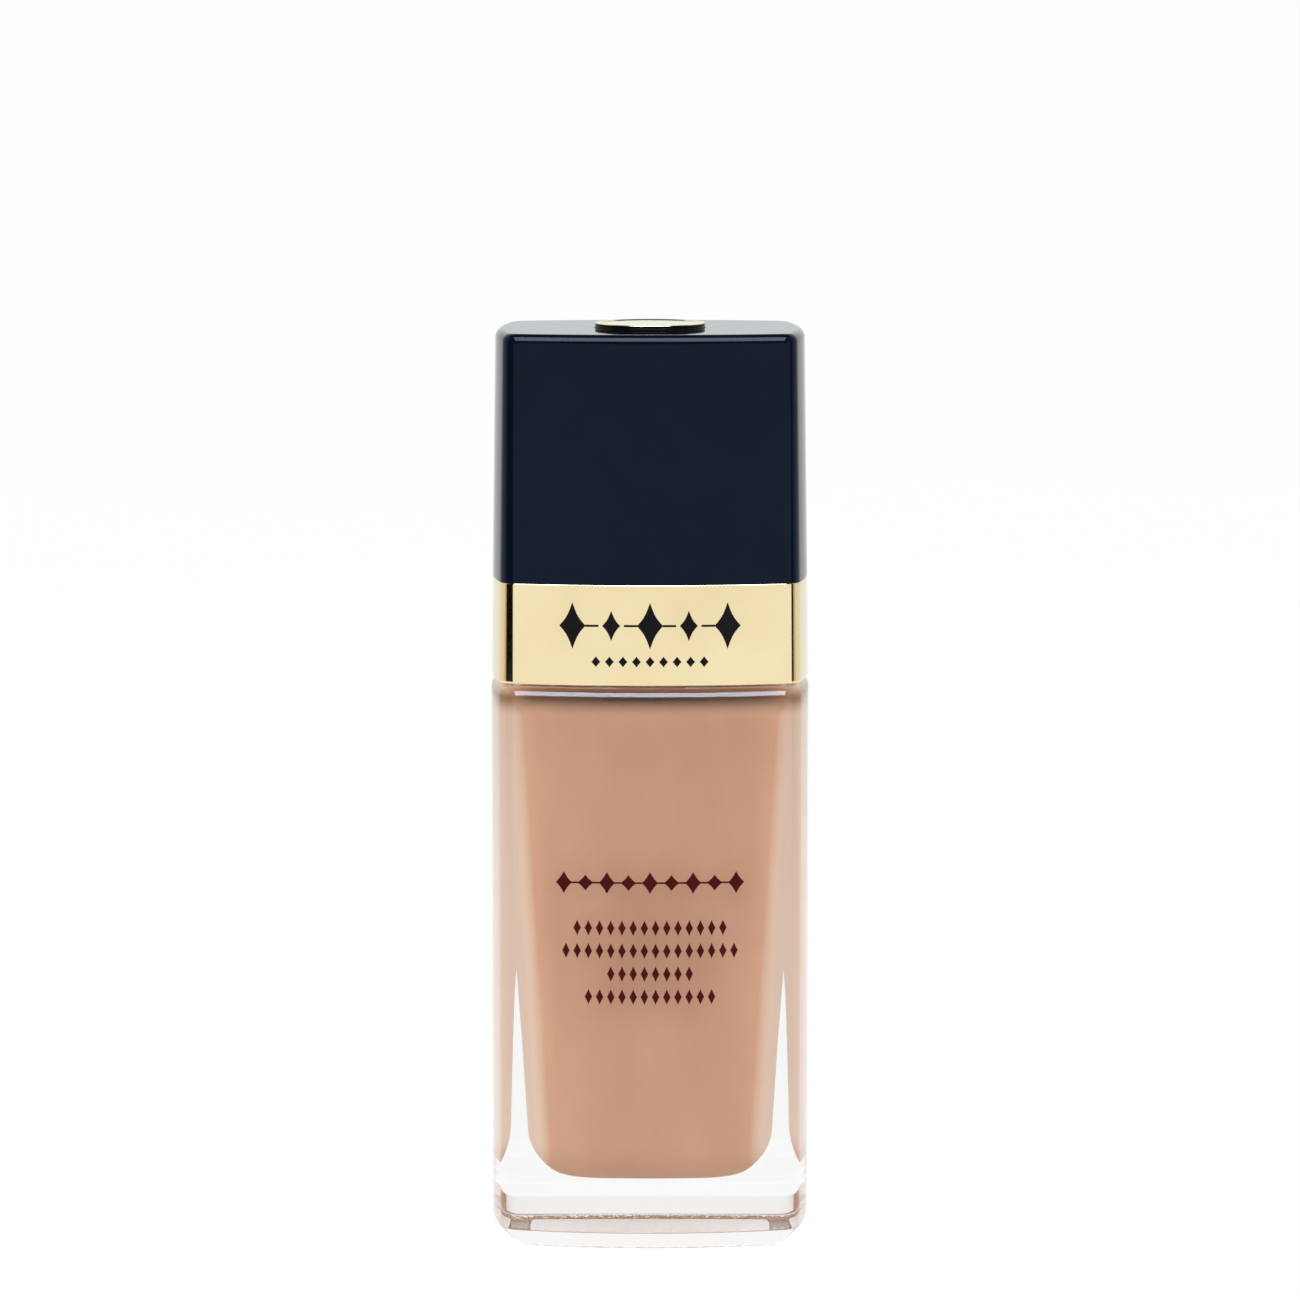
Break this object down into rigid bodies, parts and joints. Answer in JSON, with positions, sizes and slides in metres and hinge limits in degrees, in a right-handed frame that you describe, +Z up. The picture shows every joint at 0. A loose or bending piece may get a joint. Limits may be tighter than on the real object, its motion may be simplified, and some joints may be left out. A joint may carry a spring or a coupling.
{
  "type": "foundation bottle",
  "caption": "Thick clear glass bottle of liquid foundation with bowed sides, a screw-on treatment pump and a tall black pull-off cap with a gold band.",
  "frame": {"origin": "centre of the base, on the surface the bottle stands on", "axes": "+Z up along the pump's axis, -Y towards the front face, +X to the right seen from the front"},
  "size_m": [0.036, 0.0286, 0.1038],
  "materials": {
    "clear_glass": "polished, thick-walled",
    "foundation": "smooth cream",
    "natural_plastic": "satin",
    "steel": "polished",
    "gasket": "matte",
    "black_plastic": "gloss",
    "cap_black": "high gloss",
    "gold_metal": "pale gold anodised"
  },
  "bodies": {
    "bottle": {"glass_bottle": "clear_glass", "foundation_fill": "foundation"},
    "pump_core": {"dip_tube": "natural_plastic", "pump_housing": "natural_plastic", "turret": "black_plastic", "stem_gasket": "gasket", "neck_gasket": "gasket", "return_spring": "steel"},
    "closure": {"closure": "black_plastic", "collar_shell": "gold_metal"},
    "plunger": {"stem": "natural_plastic", "piston_seat": "natural_plastic"},
    "piston": {"piston": "natural_plastic"},
    "actuator": {"actuator": "black_plastic", "actuator_sleeve": "gold_metal", "nozzle_tip": "black_plastic"},
    "inlet_ball": {"inlet_ball": "steel"},
    "cap": {"cap_shell": "cap_black", "cap_band": "gold_metal", "cap_liner": "natural_plastic", "cap_medallion": "gold_metal"}
  },
  "joints": [
    {"name": "pump_rise", "type": "slide", "parent": "bottle", "child": "pump_core", "axis": [0, 0, 1], "range_m": [0, 0.0048]},
    {"name": "closure_turn", "type": "hinge", "parent": "pump_core", "child": "closure", "pos_m": [0, 0, 0.07], "axis": [0, 0, 1], "range_deg": [0, 540]},
    {"name": "actuator_press", "type": "slide", "parent": "pump_core", "child": "plunger", "axis": [0, 0, -1], "range_m": [0, 0.004], "stiffness_N_per_m": 1200, "springref_m": -0.006, "deforming": ["return_spring"]},
    {"name": "piston_slip", "type": "slide", "parent": "plunger", "child": "piston", "axis": [0, 0, 1], "range_m": [0, 0.0006]},
    {"name": "actuator_turn", "type": "hinge", "parent": "plunger", "child": "actuator", "pos_m": [0, 0, 0.09], "axis": [0, 0, 1], "continuous": true},
    {"name": "ball_lift", "type": "slide", "parent": "pump_core", "child": "inlet_ball", "axis": [0, 0, 1], "range_m": [0, 0.0008]},
    {"name": "cap_pull", "type": "slide", "parent": "pump_core", "child": "cap", "axis": [0, 0, 1], "range_m": [0, 0.045]}
  ],
  "couplings": [
    {"joint": "closure_turn", "follows": "pump_rise", "rad_per_m": 1963.5}
  ]
}
